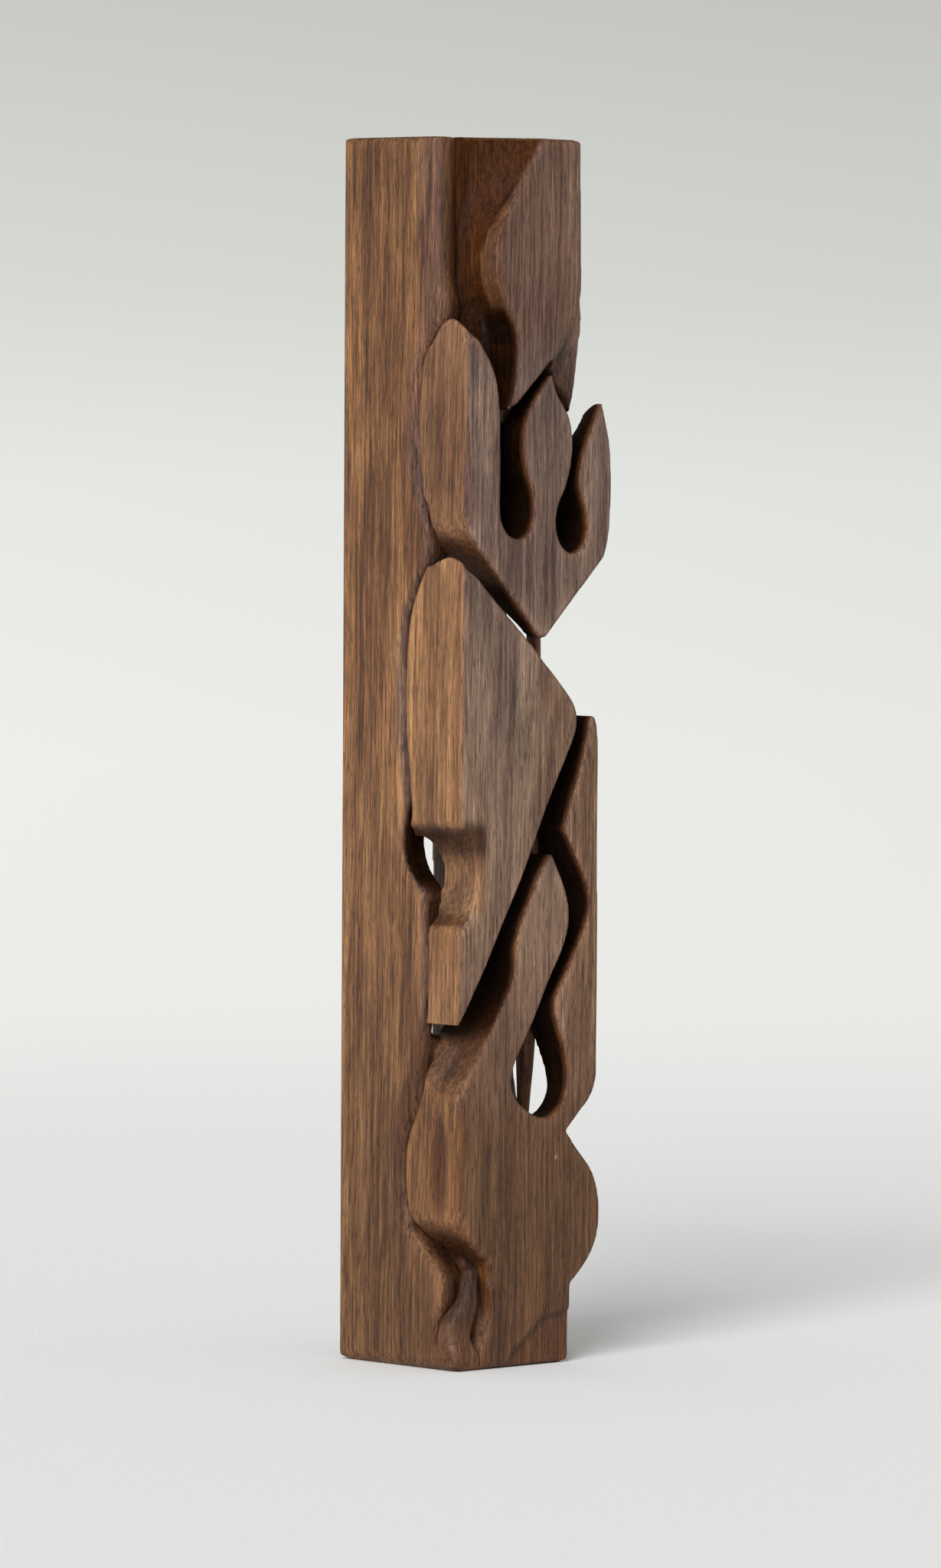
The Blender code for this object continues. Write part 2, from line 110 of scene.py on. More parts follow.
def make_lights():
    """One large soft light high on the left of the camera, and an even pale sky."""
    data = bpy.data.lights.new("key", "SUN")
    data.energy = KEY_STRENGTH
    data.angle = KEY_SPREAD
    data.color = KEY_COLOUR
    key = bpy.data.objects.new("key", data)
    azimuth = EYE_AZIMUTH - KEY_TO_THE_LEFT
    level = Vector((math.sin(azimuth), -math.cos(azimuth), 0.0)) * math.cos(KEY_UP)
    towards = level + Vector((0, 0, math.sin(KEY_UP)))
    key.rotation_euler = towards.to_track_quat("Z", "Y").to_euler()
    bpy.context.scene.collection.objects.link(key)
    world = bpy.data.worlds.new("studio")
    world.use_nodes = True
    background = world.node_tree.nodes["Background"]
    background.inputs["Color"].default_value = (*SKY, 1.0)
    background.inputs["Strength"].default_value = SKY_STRENGTH
    bpy.context.scene.world = world


# ---------------------------------------------------------------- node helpers
def wire(tree, kind, inputs, output=0, **settings):
    """Adds a node, sets or links its inputs, and returns one of its outputs."""
    node = tree.nodes.new(kind)
    for key, value in settings.items():
        setattr(node, key, value)
    for key, value in inputs.items():
        socket = node.inputs[key]
        if isinstance(value, bpy.types.NodeSocket):
            tree.links.new(value, socket)
        else:
            socket.default_value = value
    return node.outputs[output]


def maths(tree, operation, first, second=0.0):
    return wire(tree, "ShaderNodeMath", {0: first, 1: second}, operation=operation)


def noise_at(tree, vector, stretch, detail=3.0, roughness=0.5, output="Fac"):
    """Noise in millimetres: stretch holds how many of its cells fit in one along each axis."""
    scaled = wire(tree, "ShaderNodeVectorMath", {0: vector, 1: stretch}, operation="MULTIPLY")
    inputs = {"Vector": scaled, "Scale": 1.0, "Detail": detail, "Roughness": roughness}
    return wire(tree, "ShaderNodeTexNoise", inputs, output)


def ramp(tree, value, stops):
    """A colour read between stops of (place from 0 to 1, colour)."""
    node = tree.nodes.new("ShaderNodeValToRGB")
    tree.links.new(value, node.inputs["Fac"])
    elements = node.color_ramp.elements
    while len(elements) < len(stops):
        elements.new(0.5)
    for element, (place, colour) in zip(elements, stops):
        element.position = place
        element.color = (*colour, 1.0)
    return node.outputs["Color"]


def remap(tree, value, low, high, to_low, to_high):
    keys = {"Value": value, "From Min": low, "From Max": high, "To Min": to_low, "To Max": to_high}
    return wire(tree, "ShaderNodeMapRange", keys)


def mix(tree, share, first, second, blend="MIX"):
    settings = {"data_type": "RGBA", "blend_type": blend}
    return wire(tree, "ShaderNodeMix", {0: share, 6: first, 7: second}, 2, **settings)


def multiply(tree, first, second):
    return mix(tree, 1.0, first, second, "MULTIPLY")


def step_up(tree, value, low, high):
    """0 below low, 1 above high, and a smooth rise between them."""
    inputs = {"Value": value, "From Min": low, "From Max": high}
    return wire(tree, "ShaderNodeMapRange", inputs, interpolation_type="SMOOTHSTEP")


def roughen(tree, shader, height, strength, distance):
    """Gives the shader a bump from a height."""
    inputs = {"Height": height, "Strength": strength, "Distance": distance}
    tree.links.new(wire(tree, "ShaderNodeBump", inputs, "Normal"), shader.inputs["Normal"])


def grey(tree, value):
    return wire(tree, "ShaderNodeCombineColor", {0: value, 1: value, 2: value})


def in_millimetres(tree):
    place = wire(tree, "ShaderNodeTexCoord", {}, "Object")
    return wire(tree, "ShaderNodeVectorMath", {0: place, "Scale": 1 / MM}, operation="SCALE")


def new_material(name):
    material = bpy.data.materials.new(name)
    material.use_nodes = True
    return material, material.node_tree, material.node_tree.nodes["Principled BSDF"]


# ---------------------------------------------------------------- the stage
def stage_material():
    """Matt paper with a faint woven tooth, which further off glows as a lit backdrop does, its glow
    darkened upward and towards the right as painted falloff of the light.
    """
    material, tree, shader = new_material("stage_paper")
    place = wire(tree, "ShaderNodeTexCoord", {}, "Object")
    flat = wire(tree, "ShaderNodeVectorMath", {0: place, 1: (1.0, 1.0, 0.0)}, operation="MULTIPLY")
    radius = wire(tree, "ShaderNodeVectorMath", {0: flat}, "Value", operation="LENGTH")
    height = wire(tree, "ShaderNodeSeparateXYZ", {"Vector": place}, "Z")
    mm = in_millimetres(tree)
    tooth = noise_at(tree, mm, (0.9, 0.9, 0.9), 3.0, 0.6)
    warp = noise_at(tree, mm, (0.25, 1.8, 0.4), 2.0)
    weft = noise_at(tree, mm, (1.8, 0.25, 0.4), 2.0)
    weave = maths(tree, "ADD", maths(tree, "ADD", warp, weft), tooth)
    tone = remap(tree, weave, 1.1, 1.9, 0.865, 0.905)
    shader.inputs["Roughness"].default_value = 0.9
    shader.inputs["Specular IOR Level"].default_value = 0.1
    paper = multiply(tree, grey(tree, tone), (0.985, 0.995, 1.0, 1.0))
    tree.links.new(paper, shader.inputs["Base Color"])
    roughen(tree, shader, weave, 0.35, 0.0004)
    # Painted falloff: the glow darkens upward by height, and towards the right.
    glow = ramp(tree, maths(tree, "DIVIDE", height, GLOW_HEIGHT), GLOW)
    sideways = {0: place, 1: (0.707, -0.707, 0.0)}
    across = wire(tree, "ShaderNodeVectorMath", sideways, "Value", operation="DOT_PRODUCT")
    side_falloff = remap(tree, across, -1.2, 1.2, 1.05, 0.88)
    glow = multiply(tree, glow, grey(tree, side_falloff))
    emission = wire(tree, "ShaderNodeEmission", {"Color": glow, "Strength": 1.0})
    far = step_up(tree, radius, LIT_REACH, GLOW_REACH)
    surface = wire(tree, "ShaderNodeMixShader", {0: far, 1: shader.outputs[0], 2: emission})
    tree.links.new(surface, tree.nodes["Material Output"].inputs["Surface"])
    return material


def turned(name, profile, sides=128):
    """A surface turned round the Z axis from a profile of (radius, height)."""
    mesh = bpy.data.meshes.new(name)
    shape = bmesh.new()
    rings = []
    angles = [2 * math.pi * i / sides for i in range(sides)]
    for radius, height in profile:
        ring = [(radius * math.cos(angle), radius * math.sin(angle), height) for angle in angles]
        rings.append([shape.verts.new(place) for place in ring])
    for low, high in zip(rings, rings[1:]):
        for i in range(sides):
            shape.faces.new((low[i - 1], low[i], high[i], high[i - 1]))
    for face in shape.faces:
        face.smooth = True
    shape.to_mesh(mesh)
    shape.free()
    made = bpy.data.objects.new(name, mesh)
    bpy.context.scene.collection.objects.link(made)
    return made


def make_stage():
    paper = stage_material()
    floor = turned("floor", [(0.0005, 0.0), (0.3, 0.0), (1.0, 0.0), (FLOOR_REACH, 0.0)])
    sweep = []
    for step in range(13):
        angle = math.radians(90 * step / 12)
        away = FLOOR_REACH + SWEEP_RADIUS * math.sin(angle)
        sweep.append((away, SWEEP_RADIUS * (1 - math.cos(angle))))
    sweep.append((FLOOR_REACH + SWEEP_RADIUS, WALL_TOP))
    wall = turned("backdrop", sweep)
    wall.visible_shadow = False
    for part in (floor, wall):
        part.data.materials.append(paper)


# ---------------------------------------------------------------- wood
# Oiled walnut from its darkest streak to its palest.
GRAIN = [
    (0.22, (0.060, 0.027, 0.013)),
    (0.38, (0.112, 0.050, 0.023)),
    (0.50, (0.172, 0.080, 0.036)),
    (0.63, (0.245, 0.120, 0.052)),
    (0.80, (0.380, 0.205, 0.088)),
]


def walnut(name, lean=0.0, shift=0.0, figure=0.03, contrast=1.0):
    """Walnut with its grain up the post: streaks, growth rings, fibres, pores and worn arrises,
    painted shade in its crevices, and the painted light and shade that its tint carries.
    """
    material, tree, shader = new_material(name)
    mm = in_millimetres(tree)
    offset = (shift, -shift, 3 * shift)
    place = wire(tree, "ShaderNodeVectorMath", {0: mm, 1: offset}, operation="ADD")
    wander = noise_at(tree, place, (0.035, 0.035, 0.012), 2.0, output="Color")
    sway = {0: wander, 1: (4.0, 4.0, 0.0)}
    wander = wire(tree, "ShaderNodeVectorMath", sway, operation="MULTIPLY")
    place = wire(tree, "ShaderNodeVectorMath", {0: place, 1: wander}, operation="ADD")

    bands = noise_at(tree, place, (0.16, 0.16, 0.006), 3.0, 0.6)
    streaks = noise_at(tree, place, (1.15, 1.15, 0.032), 4.0, 0.62)
    fibres = noise_at(tree, place, (3.1, 3.1, 0.12), 3.0, 0.6)
    threads = noise_at(tree, place, (6.5, 6.5, 0.45), 2.0, 0.5)
    clouds = noise_at(tree, place, (0.055, 0.055, 0.024), 3.0, 0.55)
    pore_field = noise_at(tree, place, (2.5, 2.5, 0.20), 1.5, 0.5)
    pores = step_up(tree, pore_field, 0.57, 0.66)

    leaning = {"Vector": place, "Location": (-46.0, 70.0, 0.0), "Rotation": (lean, -lean, 0.0)}
    heart = wire(tree, "ShaderNodeMapping", leaning)
    heart = wire(tree, "ShaderNodeVectorMath", {0: heart, 1: (1.0, 1.0, 0.0)}, operation="MULTIPLY")
    radius = wire(tree, "ShaderNodeVectorMath", {0: heart}, "Value", operation="LENGTH")
    swirl = maths(tree, "MULTIPLY", clouds, 16.0)
    rings = maths(tree, "SINE", maths(tree, "ADD", maths(tree, "MULTIPLY", radius, 0.55), swirl))

    def swing(value, amount):
        return maths(tree, "MULTIPLY", maths(tree, "SUBTRACT", value, 0.5), amount)

    tone = maths(tree, "ADD", streaks, swing(fibres, 0.50))
    tone = maths(tree, "ADD", tone, swing(bands, 0.60))
    tone = maths(tree, "ADD", tone, maths(tree, "MULTIPLY", rings, figure))
    tone = maths(tree, "ADD", tone, swing(clouds, 0.34))
    tone = remap(tree, tone, 0.5 - 0.5 / contrast, 0.5 + 0.5 / contrast, 0.0, 1.0)
    colour = ramp(tree, tone, GRAIN)
    fine = remap(tree, threads, 0.25, 0.75, 0.70, 1.30)
    colour = multiply(tree, colour, grey(tree, fine))
    tint = wire(tree, "ShaderNodeAttribute", {}, "Color", attribute_name="tint")
    colour = multiply(tree, colour, tint)
    arris = wire(tree, "ShaderNodeAttribute", {}, "Fac", attribute_name="arris")
    worn = remap(tree, arris, 0.15, 0.9, 0.0, 0.30)
    colour = mix(tree, worn, colour, multiply(tree, colour, (1.5, 1.45, 1.5, 1.0)))
    # Painted shade in the crevices, where the arris value falls towards -1.
    crevice_shade = remap(tree, arris, -0.1, -0.9, 0.0, 0.72)
    colour = mix(tree, crevice_shade, colour, (0.014, 0.008, 0.006, 1.0))
    pore_share = maths(tree, "MULTIPLY", pores, 0.55)
    dark = multiply(tree, colour, (0.26, 0.25, 0.30, 1.0))
    colour = mix(tree, pore_share, colour, dark)
    tree.links.new(colour, shader.inputs["Base Color"])

    gloss = remap(tree, fibres, 0.3, 0.7, 0.64, 0.48)
    gloss = maths(tree, "ADD", gloss, maths(tree, "MULTIPLY", pores, 0.2))
    tree.links.new(gloss, shader.inputs["Roughness"])
    brightness = wire(tree, "ShaderNodeRGBToBW", {"Color": tint})
    polish = remap(tree, brightness, 0.08, 0.45, 0.02, 0.26)
    tree.links.new(polish, shader.inputs["Specular IOR Level"])

    ridges = maths(tree, "MULTIPLY", fibres, 0.5)
    relief = maths(tree, "ADD", ridges, maths(tree, "MULTIPLY", threads, 0.25))
    relief = maths(tree, "SUBTRACT", relief, maths(tree, "MULTIPLY", pores, 0.7))
    roughen(tree, shader, relief, 0.55, 0.00015)
    return material


def dowel_wood():
    """Pale bare dowel stock with fine straight fibres and a scuffed surface."""
    material, tree, shader = new_material("dowel_wood")
    mm = in_millimetres(tree)
    fibres = noise_at(tree, mm, (1.2, 1.2, 1.2), 5.0, 0.7)
    scuffs = noise_at(tree, mm, (0.35, 0.35, 0.35), 3.0)
    stops = [(0.3, (0.30, 0.18, 0.09)), (0.55, (0.44, 0.29, 0.155)), (0.75, (0.56, 0.40, 0.24))]
    colour = ramp(tree, fibres, stops)
    colour = multiply(tree, colour, grey(tree, remap(tree, scuffs, 0.3, 0.7, 0.85, 1.1)))
    tree.links.new(colour, shader.inputs["Base Color"])
    tree.links.new(remap(tree, fibres, 0.3, 0.7, 0.75, 0.6), shader.inputs["Roughness"])
    roughen(tree, shader, fibres, 0.4, 0.0001)
    return material


# ---------------------------------------------------------------- carving
# From here on lengths are millimetres from the billet's corner: x across the carved face, y back
# along the plain face, z up. A tint multiplies the wood's own colour; besides tone, it carries
# painted light and shade.
RIGHT, LEFT = (1.0, 0.0, 0.0), (-1.0, 0.0, 0.0)
BACK, FRONT = (0.0, 1.0, 0.0), (0.0, -1.0, 0.0)
UP, DOWN = (0.0, 0.0, 1.0), (0.0, 0.0, -1.0)


def soften(value, start, end):
    """0 before start, 1 after end, and a smooth rise between them."""
    share = np.clip((value - start) / (end - start), 0.0, 1.0)
    return share * share * (3 - 2 * share)


def between(value, low, high, edge):
    """1 inside a band and 0 outside it, with soft edges."""
    return soften(value, low - edge, low + edge) * (1 - soften(value, high - edge, high + edge))


def facing(normals, way, sharpness):
    """1 where a face looks one way, falling to 0 where it looks square to it or away."""
    return np.clip(normals @ np.array(way), 0, 1) ** sharpness


def pushed(points, amount, way):
    return points + np.outer(amount, way)


def fine_copy(node, voxel, passes):
    """A dense copy of a CAD piece, its arrises eased as sandpaper leaves them."""
    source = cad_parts[node]
    piece = bpy.data.objects.new(node + "_carved", source.data.copy())
    bpy.context.scene.collection.objects.link(piece)
    weld = piece.modifiers.new("weld", "WELD")
    weld.merge_threshold = 0.00001
    remesh = piece.modifiers.new("remesh", "REMESH")
    remesh.mode = "VOXEL"
    remesh.voxel_size = voxel * MM
    remesh.use_smooth_shade = True
    ease = piece.modifiers.new("ease", "SMOOTH")
    ease.factor = 0.5
    ease.iterations = passes
    graph = bpy.context.evaluated_depsgraph_get()
    mesh = bpy.data.meshes.new_from_object(piece.evaluated_get(graph))
    piece.modifiers.clear()
    piece.data = mesh
    piece.data.materials.clear()
    return piece


def read(mesh):
    """A mesh's points in millimetres from the billet's corner, and its normals."""
    count = len(mesh.vertices)
    points = np.empty(count * 3, np.float32)
    mesh.vertices.foreach_get("co", points)
    normals = np.empty(count * 3, np.float32)
    mesh.vertices.foreach_get("normal", normals)
    points = (points.reshape(-1, 3).astype(float) - np.array(CORNER)) / MM
    return points, normals.reshape(-1, 3).astype(float)


def write(mesh, points):
    """Puts the points back, level at the top beside the board's seam, and none below the ground."""
    at_seam = (np.abs(points[:, 0] - TOP_SEAM) < 1.3) & (points[:, 1] > 11.0)
    points[at_seam & (points[:, 2] > TALL - 0.9), 2] = TALL - 0.05
    placed = points * MM + np.array(CORNER)
    placed[:, 2] = np.maximum(placed[:, 2], LOW.z)
    mesh.vertices.foreach_set("co", placed.astype(np.float32).ravel())
    mesh.update()


def waves(points, size, seed):
    """Smooth noise between -1 and 1 at each point, with features of a size in millimetres."""
    offset = Vector((seed * 17.3, seed * 9.1, seed * 5.7))
    stretch = (1 / size, 1 / size, 0.5 / size)
    places = [Vector((x * stretch[0], y * stretch[1], z * stretch[2])) for x, y, z in points]
    return np.array([noise.noise(place + offset) for place in places])


def spread(values, edges, rounds):
    """Averages a value at each vertex with its neighbours' values, a number of times."""
    first, second = edges[:, 0], edges[:, 1]
    count = len(values)
    degree = np.bincount(edges.ravel(), minlength=count).astype(float)
    degree[degree == 0] = 1
    for _ in range(rounds):
        columns = []
        for column in values.T:
            total = np.bincount(first, column[second], count)
            total = total + np.bincount(second, column[first], count)
            columns.append(total / degree)
        values = 0.5 * values + 0.5 * np.stack(columns, 1)
    return values


def edges_of(mesh):
    edges = np.empty(len(mesh.edges) * 2, np.int32)
    mesh.edges.foreach_get("vertices", edges)
    return edges.reshape(-1, 2)


def arris_of(edges, points, normals, reach):
    """How proud each point stands of its surroundings: near 1 on an arris, near -1 in a crevice."""
    proud = ((points - spread(points, edges, reach)) * normals).sum(1)
    proud = spread(proud[:, None], edges, 2)[:, 0]
    return np.clip(proud / 0.16, -1.0, 1.0)


def worn_round(points, edges, zones):
    """Wears the shape down inside soft ellipsoids of (centre, half sizes), as a pad would."""
    if not zones:
        return points
    share = np.zeros(len(points))
    for centre, sizes in zones:
        away = np.linalg.norm((points - np.array(centre)) / np.array(sizes), axis=1)
        share = np.maximum(share, 1 - soften(away, 0.45, 1.0))
    return points + (spread(points, edges, WEAR_ROUNDS) - points) * share[:, None]


def round_over(points, first, second, radius):
    """Rounds the edge where two planes meet. A plane is (way inward, depth of each point)."""
    (way_a, depth_a), (way_b, depth_b) = first, second
    in_a, in_b = radius - depth_a, radius - depth_b
    length = np.hypot(in_a, in_b)
    corner = (in_a > 0) & (in_b > 0) & (length > radius)
    pull = np.where(corner, 1 - radius / np.maximum(length, 1e-6), 0.0)
    return pushed(pushed(points, pull * in_a, way_a), pull * in_b, way_b)


def rounded_outside(points):
    """Rounds the long and the end edges of the whole billet."""
    x, y, z = points.T
    from_right = np.interp(z, (0, 280, TALL), (BOARDS, BOARDS, HEAD_BOARDS)) - x
    top = (DOWN, TALL - z)
    foot = (UP, z)
    plain = (RIGHT, x)
    front = (BACK, y)
    back = (FRONT, FOOT_BACK + (HEAD_BACK - FOOT_BACK) * z / TALL - y)
    right = (LEFT, np.where(x > BOARDS + 0.6, FAR_IN, from_right))
    pairs = [
        (top, plain, 1.6),
        (foot, plain, 3.2),
        (plain, back, 1.5),
        (back, right, 1.5),
        (top, back, 1.4),
        (foot, back, 1.8),
        (top, right, 1.6),
        (foot, right, 2.0),
        (top, front, 0.9),
        (foot, front, 2.6),
    ]
    for first, second, radius in pairs:
        points = round_over(points, first, second, radius)
    return points


def by_height(z, stations):
    """A colour at each height, read between stations of (height, colour)."""
    heights = [height for height, _ in stations]
    channels = zip(*[colour for _, colour in stations])
    return np.stack([np.interp(z, heights, channel) for channel in channels], 1)


def all_over(points, colour):
    return np.tile(np.array(colour), (len(points), 1))


def blend(tint, share, colour):
    """Mixes in one colour, or a colour for each point, by each point's share."""
    return tint * (1 - share[:, None]) + np.array(colour) * share[:, None]


TALL = HEIGHT / MM
TOP_SEAM = 8.1  # between the side board and the leaf panel
FAR_IN = 99.0  # a depth that keeps a point out of a rounding
WEAR_ROUNDS = 70  # rounds of averaging that stand for years of rubbing
ARRIS_REACH = 14  # rounds of averaging that an arris or a crevice stands out from
board_points, _ = read(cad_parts["side_board"].data)
block_points, _ = read(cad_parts["base_block"].data)
right_points, _ = read(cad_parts["back_board"].data)
HEAD_BACK = board_points[:, 1].max()
FOOT_BACK = block_points[block_points[:, 2] < 1.0, 1].max()
BOARDS = right_points[:, 0].max()
HEAD_BOARDS = right_points[right_points[:, 2] > TALL - 1.0, 0].max()


def board_edge(depth_limit):
    """The board's front edge by height, among its points no further right than a limit."""
    front = board_points[(board_points[:, 0] < depth_limit) & (board_points[:, 1] < 30.0)]
    heights = np.unique(front[:, 2].round(2))
    edge = np.array([front[np.abs(front[:, 2] - height) < 0.02, 1].min() for height in heights])
    return heights, edge


FACE_ENDS = board_edge(0.2)  # where the plain face starts to round over
BOARD_ENDS = board_edge(FAR_IN)  # and where the board stops
WALL_SHADE = (0.42, 0.33, 0.26)  # inner walls, painted darker and warmer for the shade inside the carving
# Black painted shade deep inside the recesses.
DEEP_SHADE = (0.05, 0.04, 0.035)
END_GRAIN = (0.56, 0.50, 0.45)  # sawn across, and so a little darker
BOARD_FACE = [
    (0, (0.63, 0.60, 0.57)),
    (60, (0.65, 0.63, 0.60)),
    (110, (0.90, 0.88, 0.86)),
    (180, (1.05, 1.02, 0.98)),
    (260, (0.93, 0.88, 0.80)),
    (320, (0.81, 0.76, 0.68)),
]
# The rounded front edge by height: a painted grey-mauve sheen over the wood's tone, bluer above 100
# mm.
BOARD_ROUNDING = [
    (30, (0.66, 0.62, 0.56)),
    (45, (0.36, 0.32, 0.35)),
    (60, (0.33, 0.29, 0.35)),
    (84, (0.34, 0.32, 0.38)),
    (106, (0.40, 0.42, 0.64)),
    (150, (0.40, 0.44, 0.68)),
    (178, (0.42, 0.46, 0.70)),
    (200, (0.62, 0.72, 1.06)),
    (250, (0.74, 0.73, 0.96)),
    (320, (0.68, 0.69, 0.92)),
]
# The carved face by height: a painted grey-blue sheen over the wood's tone, strongest from 90 to 190
# mm.
CARVED_FACE = [
    (0, (0.54, 0.47, 0.42)),
    (30, (0.58, 0.56, 0.53)),
    (62, (0.69, 0.68, 0.72)),
    (90, (0.92, 1.06, 1.54)),
    (125, (1.14, 1.44, 2.16)),
    (190, (1.16, 1.54, 2.45)),
    (205, (0.80, 1.02, 1.70)),
    (260, (0.82, 1.08, 1.84)),
    (272, (0.77, 0.86, 1.28)),
]
# The bosses' plain faces by height: painted golden light where they face the key, brightest from 95
# to 205 mm.
BOSS_FACE = [
    (30, (0.78, 0.74, 0.64)),
    (75, (0.82, 0.77, 0.69)),
    (95, (1.30, 1.34, 1.30)),
    (118, (1.18, 1.14, 1.06)),
    (145, (1.28, 1.30, 1.28)),
    (205, (1.25, 1.27, 1.25)),
    (222, (0.96, 0.96, 1.00)),
    (270, (0.94, 0.96, 1.02)),
]


def first_tint(points, normals):
    """Painted light by the way a face points: golden light on the plain side, a grey-blue painted
    sheen on the carved one, painted shade on the inner walls and black painted shade deep in the
    recesses.
    """
    x, y, z = points.T
    carved = facing(normals, FRONT, 3)
    plain = facing(normals, LEFT, 3) * (1 - soften(x, 1.0, 4.0))
    outward = facing(normals, RIGHT, 1) * soften(x, 41.0, 46.0)
    behind = facing(normals, BACK, 2)
    # Black painted shade in the recesses behind the carved face.
    deep = soften(y, 0.1, 2.6) * soften(x, 8.0, 17.0) * (1 - outward) * (1 - behind)
    tint = blend(all_over(points, WALL_SHADE), deep, DEEP_SHADE)
    tint = blend(tint, outward, (0.74, 0.74, 0.86))
    tint = blend(tint, plain, by_height(z, BOSS_FACE))
    return blend(tint, carved, by_height(z, CARVED_FACE))


def roll_to_seam(points, normals, tint):
    """Rolls a boss's plain face in towards the board's edge, and paints shade along the seam."""
    x, y, z = points.T
    away = np.interp(z, *BOARD_ENDS) - y
    near = np.clip(1 - away / 2.0, 0, 1) ** 2 * (x < 4.0)
    return pushed(points, 0.8 * near, RIGHT), blend(tint, 0.75 * near, (0.40, 0.36, 0.40))


def shape_board(points, normals):
    """The plain face, its rounded front edge with a painted sheen and spots of painted shade, and the
    groove beside the leaf; painted shade also darkens the board's inner side, the waist and the side
    of the ramp.
    """
    x, y, z = points.T
    tint = all_over(points, (0.70, 0.66, 0.64))
    tint = blend(tint, facing(normals, LEFT, 2), by_height(z, BOARD_FACE))
    face, end = np.interp(z, *FACE_ENDS), np.interp(z, *BOARD_ENDS)
    share = (face - y) / np.maximum(face - end, 0.6)
    front = (y < face + 2.0) & (x < 4.5)
    # A painted sheen on the rounded front edge.
    tint = blend(tint, 0.9 * soften(share, -0.45, 0.30) * front, by_height(z, BOARD_ROUNDING))
    # Painted shade where the rounding meets the boss.
    tint = blend(tint, 0.6 * soften(share, 0.80, 1.0) * front, (0.30, 0.25, 0.26))
    # Spots of painted shade where the crevice opens along the rounding.
    shade_spots = soften(waves(points, 4.0, 41), 0.18, 0.42) * soften(share, 0.35, 0.85) * front
    shade_spots = shade_spots * soften(z, 30.0, 40.0) * (1 - soften(z, 262.0, 270.0))
    tint = blend(tint, 0.8 * shade_spots, (0.14, 0.10, 0.11))
    # Painted shade on the board's inner side.
    tint = blend(tint, soften(x, 2.6, 5.0), (0.20, 0.16, 0.14))
    # Near-black painted shade at the waist.
    waist = between(z, 125.0, 146.0, 2.5) * soften(x, 0.1, 0.9) * (y < face + 2.0)
    tint = blend(tint, waist, (0.06, 0.045, 0.035))
    # Painted shadow in the crease between the board and the ramp.
    ramp_side_shade = between(z, 66.0, 87.0, 3.0) * soften(face + 2.2 - y, 0.0, 1.0) * (y < 25.0)
    tint = blend(tint, 0.85 * ramp_side_shade, (0.42, 0.37, 0.40))
    # Painted shade in the groove beside the leaf, darkest furthest in.
    leaf_groove_shade = soften(z, 272.0, 282.0)
    tint = blend(tint, leaf_groove_shade * soften(x, 1.2, 3.5), (0.52, 0.45, 0.40))
    tint = blend(tint, 0.9 * leaf_groove_shade * soften(x, 4.6, 7.6), (0.20, 0.145, 0.10))
    dip = 1.4 * soften(z, 268.0, 277.0) * soften(x, 2.5, 8.2) * (1 - soften(y, 14.0, 20.0))
    notch = between(z, 86.0, 92.0, 1.2) * (1 - soften(y, 20.0, 28.0)) * np.maximum(x - 3.0, 0.0)
    return pushed(points, dip + 0.98 * notch, BACK), tint


def shape_back_board(points, normals):
    """Painted grey-blue shade and reflection within, where it shows through the holes, painted black
    shade behind the prongs, and plain outside.
    """
    z = points[:, 2]
    tint = blend(all_over(points, (0.34, 0.42, 0.62)), soften(z, 205.0, 215.0), DEEP_SHADE)
    outside = np.maximum(facing(normals, RIGHT, 2), facing(normals, BACK, 2))
    return points, blend(tint, outside, by_height(z, BOARD_FACE))


def shape_block(points, normals):
    """Darker all over, painted black for shade behind the prongs, and plain where it shows at the
    back.
    """
    z = points[:, 2]
    behind_prongs = facing(normals, FRONT, 1) * soften(z, 200.0, 210.0)
    tint = blend(all_over(points, (0.42, 0.36, 0.31)), behind_prongs, DEEP_SHADE)
    return points, blend(tint, facing(normals, BACK, 2), by_height(z, BOARD_FACE))


# The leaf's left edge: heights, and how far right it is.
LEAF_EDGE = (
    (246, 256, 266, 276, 289, 303, 312, 320),
    (15.6, 18.2, 18.8, 14.4, 10.3, 15.6, 21.6, 27.0),
)


def shape_leaf(points, normals):
    """The leaf, the brown hollow on its left painted darker for its shade, with a painted lit strip
    along its edge, painted shade on its tail, and the right flank.
    """
    x, y, z = points.T
    tint = first_tint(points, normals)
    edge = np.interp(z, *LEAF_EDGE)
    # The hollow's ochre-brown wood, painted darker for its shade, darkest by the board and in the
    # cove.
    hollow = soften(edge - x, -0.3, 1.2) * (y < 15.6)
    tint = blend(tint, hollow, (0.27, 0.152, 0.036))
    tint = blend(tint, soften(10.2 - x, -1.4, 1.6) * hollow, (0.22, 0.135, 0.07))
    cove = between(z, 240.0, 279.0, 4.0) * hollow
    tint = blend(tint, 0.9 * cove, (0.16, 0.12, 0.10))
    # A painted lit strip along the leaf's left edge, where it faces the light.
    reach = np.interp(z, (276, 290, 296, 304, 312), (6.5, 6.0, 4.4, 2.4, 1.2))
    strip = between(edge - x, 0.1, 2.2, 0.4) * between(z, 276.0, 311.0, 3.0)
    strip = strip * (1 - soften(y, reach - 1.2, reach))
    tint = blend(tint, 0.9 * strip, (0.66, 0.56, 0.48))
    # Painted shade on the leaf's tail, behind the prongs.
    tail_shade = soften(y, 0.8, 5.0) * soften(x, 26.0, 32.0) * (x < 41.0)
    tint = blend(tint, 0.75 * tail_shade, (0.34, 0.30, 0.33))
    tint = blend(tint, facing(normals, RIGHT, 2), by_height(z, BOARD_FACE))
    lap = 0.5 * (1 - soften(x, 8.3, 10.0)) * soften(z, 262.0, 270.0)
    swell = 2.1 * soften(x, 36.0, 40.5) * between(z, 244.0, 274.0, 5.0)
    return pushed(points, swell - lap, RIGHT), tint


